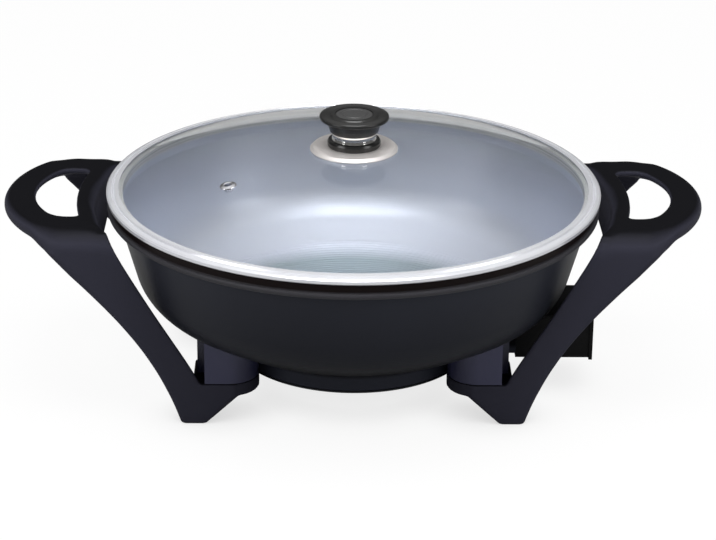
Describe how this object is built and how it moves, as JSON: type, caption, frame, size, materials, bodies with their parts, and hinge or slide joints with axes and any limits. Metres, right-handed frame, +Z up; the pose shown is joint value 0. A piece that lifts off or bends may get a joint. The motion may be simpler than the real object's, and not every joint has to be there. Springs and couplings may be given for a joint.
{
  "type": "electric wok",
  "caption": "Electric wok with a deep cast pan, domed glass lid, and moulded grips whose legs are the feet; the lid lifts straight off.",
  "frame": {"origin": "on the table, under the pan's centre", "axes": "+Z up, +X towards the probe guard along the two grips, +Y to the rear"},
  "size_m": [0.509, 0.36, 0.2072],
  "materials": {
    "coated_aluminium": "matt dark non-stick coating on die-cast aluminium",
    "element_sheath": "heat-darkened steel sheath",
    "pin_steel": "drawn bright steel",
    "ceramic": "unglazed off-white ceramic",
    "cover_black": "black painted sheet steel",
    "screw_steel": "zinc plated steel",
    "moulded_black": "matt black phenolic moulding",
    "moulded_blue": "satin blue-black moulding",
    "moulded_charcoal": "satin charcoal phenolic moulding",
    "clear_glass": "clear tempered glass",
    "band_steel": "polished stainless steel",
    "seal_grey": "grey silicone",
    "plate_steel": "turned stainless steel",
    "knob_black": "gloss black phenolic moulding",
    "neck_chrome": "polished chrome",
    "disc_black": "satin black moulding",
    "insert_brass": "turned brass"
  },
  "bodies": {
    "cooker": {"pan": "coated_aluminium", "heating_element": "element_sheath", "terminal_pins": "pin_steel", "terminal_bushes": "ceramic", "sensor_sleeve": "pin_steel", "base_cover": "cover_black", "cover_screws": "screw_steel", "probe_guard": "moulded_black", "guard_screws": "screw_steel", "post_front_left": "moulded_blue", "post_front_right": "moulded_blue", "post_rear_left": "moulded_blue", "post_rear_right": "moulded_blue", "handle_left": "moulded_charcoal", "handle_right": "moulded_charcoal", "leg_screws": "screw_steel", "leg_washers": "screw_steel"},
    "lid": {"lid_glass": "clear_glass", "lid_band": "band_steel", "vent_eyelet": "band_steel", "glass_gasket_upper": "seal_grey", "knob_plate": "plate_steel", "knob_collar": "knob_black", "knob_neck": "neck_chrome", "knob_body": "knob_black", "knob_cap": "knob_black", "knob_disc": "disc_black", "knob_insert": "insert_brass", "glass_gasket_lower": "seal_grey", "knob_washer": "screw_steel", "knob_screw": "screw_steel"}
  },
  "joints": [
    {"name": "lid_lift", "type": "slide", "parent": "cooker", "child": "lid", "axis": [0, 0, 1], "range_m": [0, 0.15]}
  ]
}
